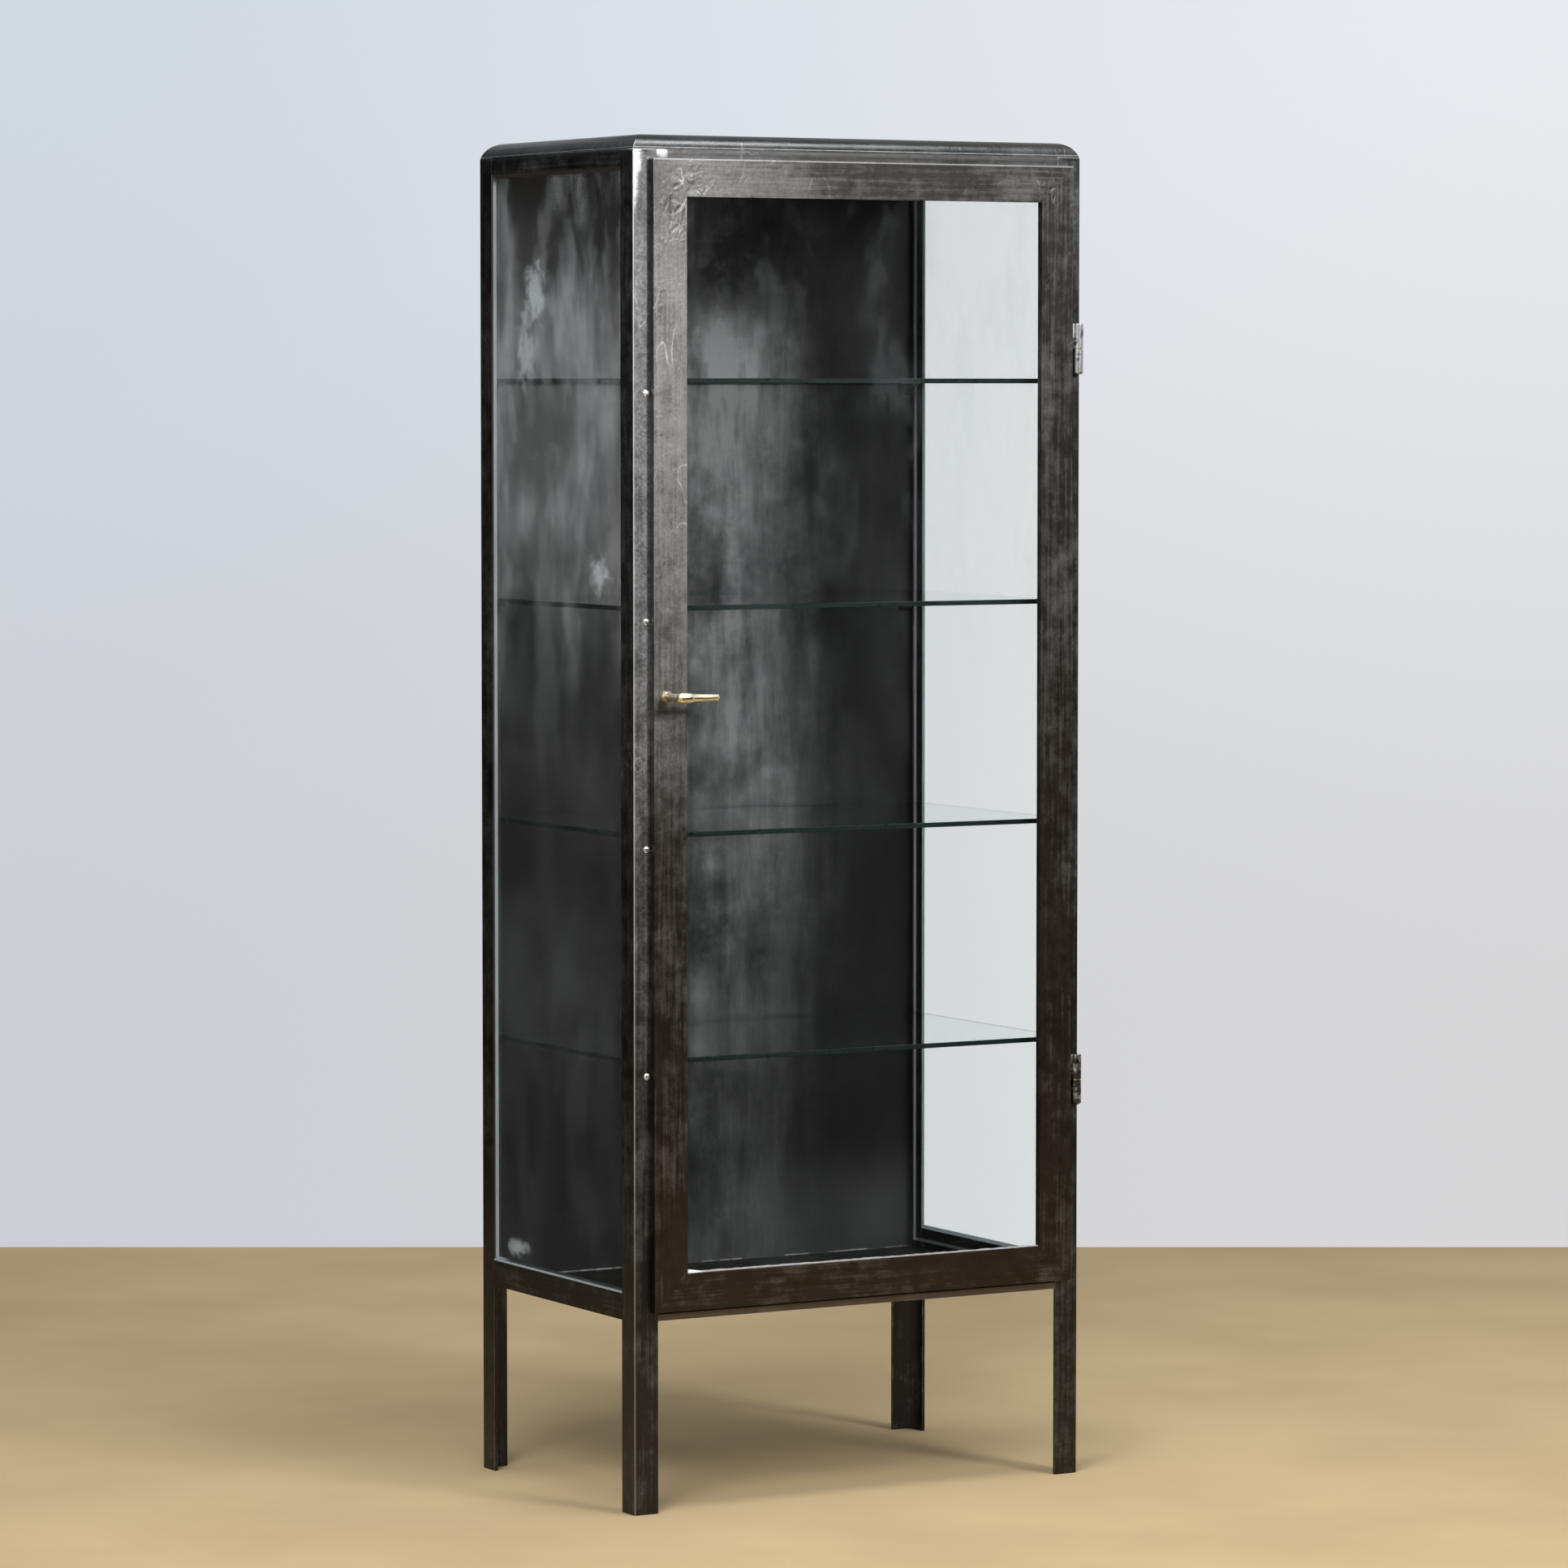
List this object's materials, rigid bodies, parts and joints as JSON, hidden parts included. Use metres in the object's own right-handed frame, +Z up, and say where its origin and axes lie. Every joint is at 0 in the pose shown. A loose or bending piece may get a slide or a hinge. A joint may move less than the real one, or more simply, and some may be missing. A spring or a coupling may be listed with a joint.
{
  "type": "medicine cabinet",
  "caption": "Free-standing steel and glass medicine cabinet: angle-steel frame on legs, rounded sheet top, glazed sides, sheet back, glass shelves and a glazed hinged door with a lever latch.",
  "frame": {"origin": "on the floor, under the middle of the overall box, lever handle included", "axes": "+Z up; the front with the door faces -Y; the hinges are on the +X side"},
  "size_m": [0.625, 0.4552, 1.65],
  "materials": {
    "frame_steel": "brushed bare steel with a dark patina and bright worn edges",
    "top_steel": "brushed bare steel sheet with a dark patina",
    "sheet_steel": "mottled smoky steel sheet",
    "door_steel": "scratched bare steel with a brown-black patina",
    "hinge_steel": "worn bright steel",
    "latch_steel": "plain steel",
    "bracket_steel": "blackened steel",
    "bright_steel": "bright plated steel",
    "brass": "pale polished brass",
    "pane_glass": "clear sheet glass",
    "shelf_glass": "clear sheet glass with dark green edges",
    "putty": "pale grey glazing putty"
  },
  "bodies": {
    "carcass": {"upright_front_left": "frame_steel", "upright_front_right": "frame_steel", "upright_rear_left": "frame_steel", "upright_rear_right": "frame_steel", "bottom_rail_front": "frame_steel", "bottom_rail_left": "frame_steel", "bottom_rail_right": "frame_steel", "bottom_rail_rear": "frame_steel", "top_rail_front": "frame_steel", "top_rail_left": "frame_steel", "top_rail_right": "frame_steel", "top_rail_rear": "frame_steel", "top_cap": "top_steel", "floor_panel": "sheet_steel", "back_panel": "sheet_steel", "side_glass_left": "pane_glass", "side_glass_right": "pane_glass", "side_bedding_left": "putty", "side_bedding_right": "putty", "side_putty_left": "putty", "side_putty_right": "putty", "shelf_1": "shelf_glass", "shelf_2": "shelf_glass", "shelf_3": "shelf_glass", "shelf_4": "shelf_glass", "shelf_brackets_front": "bracket_steel", "shelf_brackets_rear": "bracket_steel", "bracket_screws_front_left": "bright_steel", "bracket_screws_front_right": "bright_steel", "bracket_screws_rear": "bright_steel", "hinge_frame_half_lower": "hinge_steel", "hinge_frame_half_upper": "hinge_steel", "hinge_pin_lower": "hinge_steel", "hinge_pin_upper": "hinge_steel", "hinge_washers": "brass"},
    "door": {"door_stile_left": "door_steel", "door_stile_right": "door_steel", "door_rail_top": "door_steel", "door_rail_bottom": "door_steel", "door_glass": "pane_glass", "door_bead_left": "door_steel", "door_bead_right": "door_steel", "door_bead_top": "door_steel", "door_bead_bottom": "door_steel", "door_bead_screws": "bright_steel", "hinge_door_half_lower": "hinge_steel", "hinge_door_half_upper": "hinge_steel", "handle_rose": "brass", "handle_bush_nut": "bright_steel"},
    "handle": {"handle_lever": "brass", "handle_spindle": "latch_steel", "latch_tongue": "latch_steel", "latch_nut": "bright_steel"}
  },
  "joints": [
    {"name": "door_hinge", "type": "hinge", "parent": "carcass", "child": "door", "pos_m": [0.306, -0.1815, 0.945], "axis": [0, 0, 1], "range_deg": [0, 180]},
    {"name": "handle_turn", "type": "hinge", "parent": "door", "child": "handle", "pos_m": [-0.273, -0.1846, 0.982], "axis": [0, 1, 0], "range_deg": [0, 90]}
  ]
}
